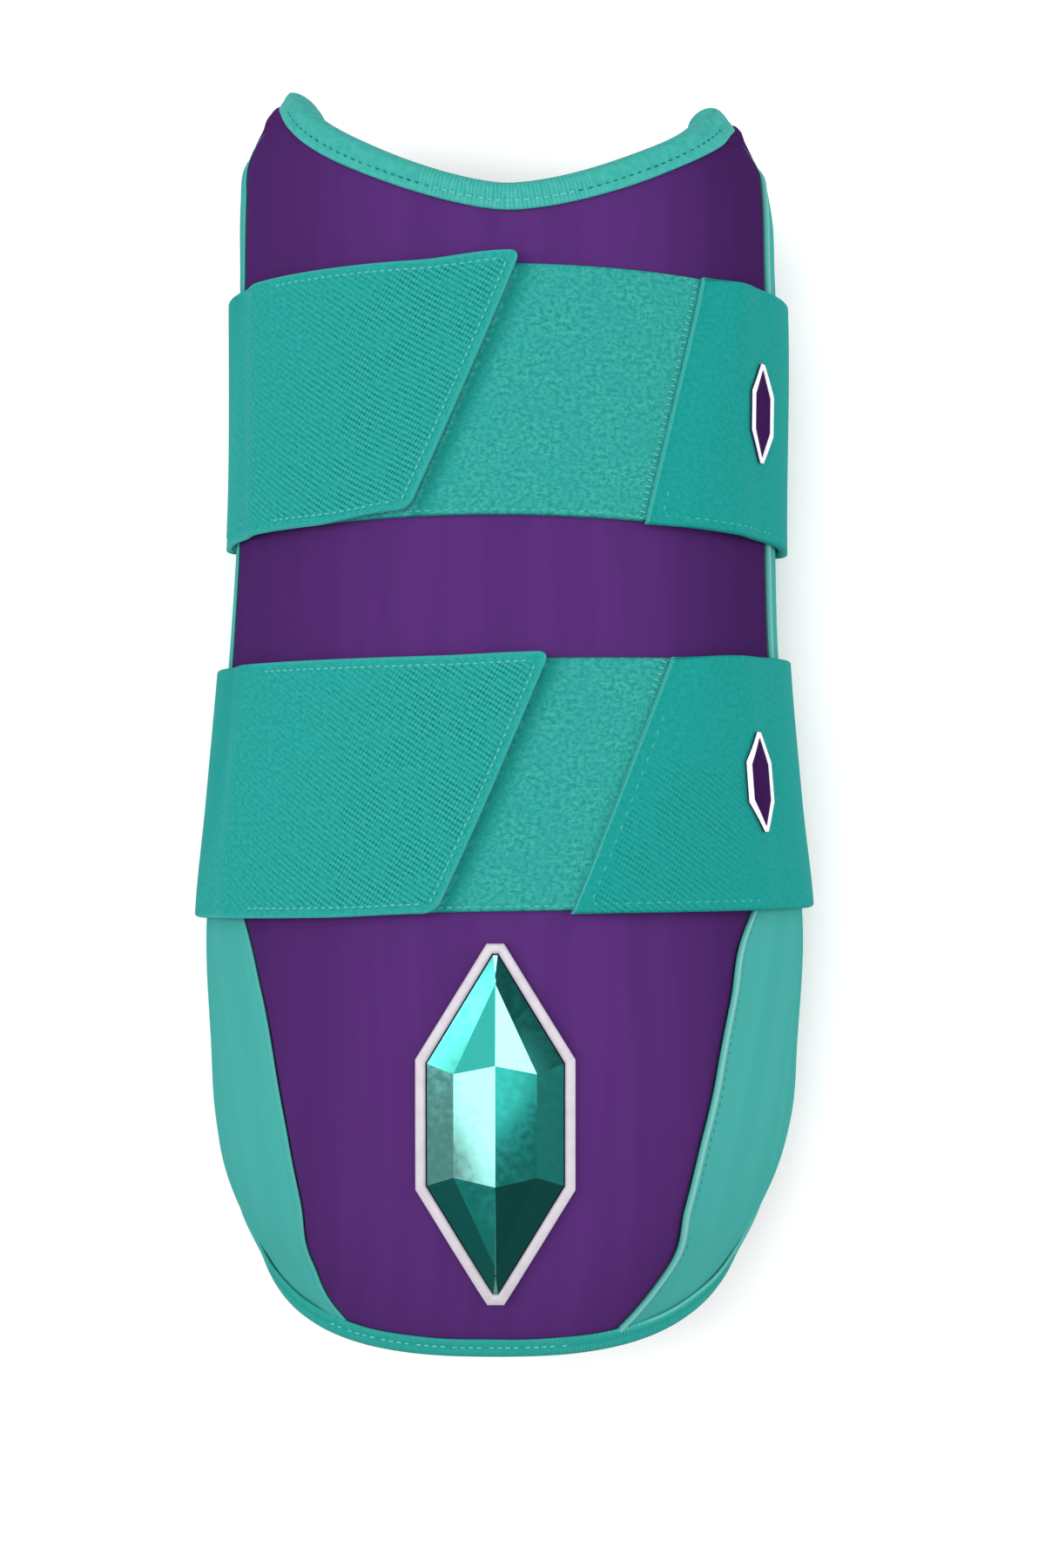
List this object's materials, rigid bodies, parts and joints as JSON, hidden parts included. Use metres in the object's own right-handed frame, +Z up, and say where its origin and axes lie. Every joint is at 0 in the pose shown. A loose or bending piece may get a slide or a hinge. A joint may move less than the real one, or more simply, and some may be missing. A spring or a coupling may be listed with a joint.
{
  "type": "elbow guard",
  "caption": "Padded elbow guard shell with a two-tone cover, bound edge, faceted badge and wrap straps that close on loop patches.",
  "frame": {"origin": "middle of the footprint, on the surface that the straps' back runs lie on", "axes": "+Y along the arm towards the scooped end with the horns, +Z up out of the front of the guard, +X to the right seen from the front"},
  "size_m": [0.1294, 0.254, 0.0742],
  "materials": {
    "foam": "knit-faced closed-cell foam",
    "front_cover": "smooth laminated purple cloth",
    "side_cover": "smooth laminated teal cloth",
    "binding_tape": "folded stretch binding tape",
    "loop_pile": "brushed loop pile",
    "elastic_webbing": "woven elastic webbing",
    "strap_print": "matte heat transfer with a pale edge",
    "badge_edge": "satin light grey moulding",
    "badge_face": "teal mirror-coated facets"
  },
  "bodies": {
    "root": {"pad_body": "foam", "front_panel": "front_cover", "side_panel_left": "side_cover", "side_panel_right": "side_cover", "edge_binding": "binding_tape", "upper_loop_patch": "loop_pile", "upper_strap": "elastic_webbing", "upper_strap_mark": "strap_print", "lower_loop_patch": "loop_pile", "lower_strap": "elastic_webbing", "lower_strap_mark": "strap_print", "badge_rim": "badge_edge", "badge_facets": "badge_face"}
  },
  "joints": []
}
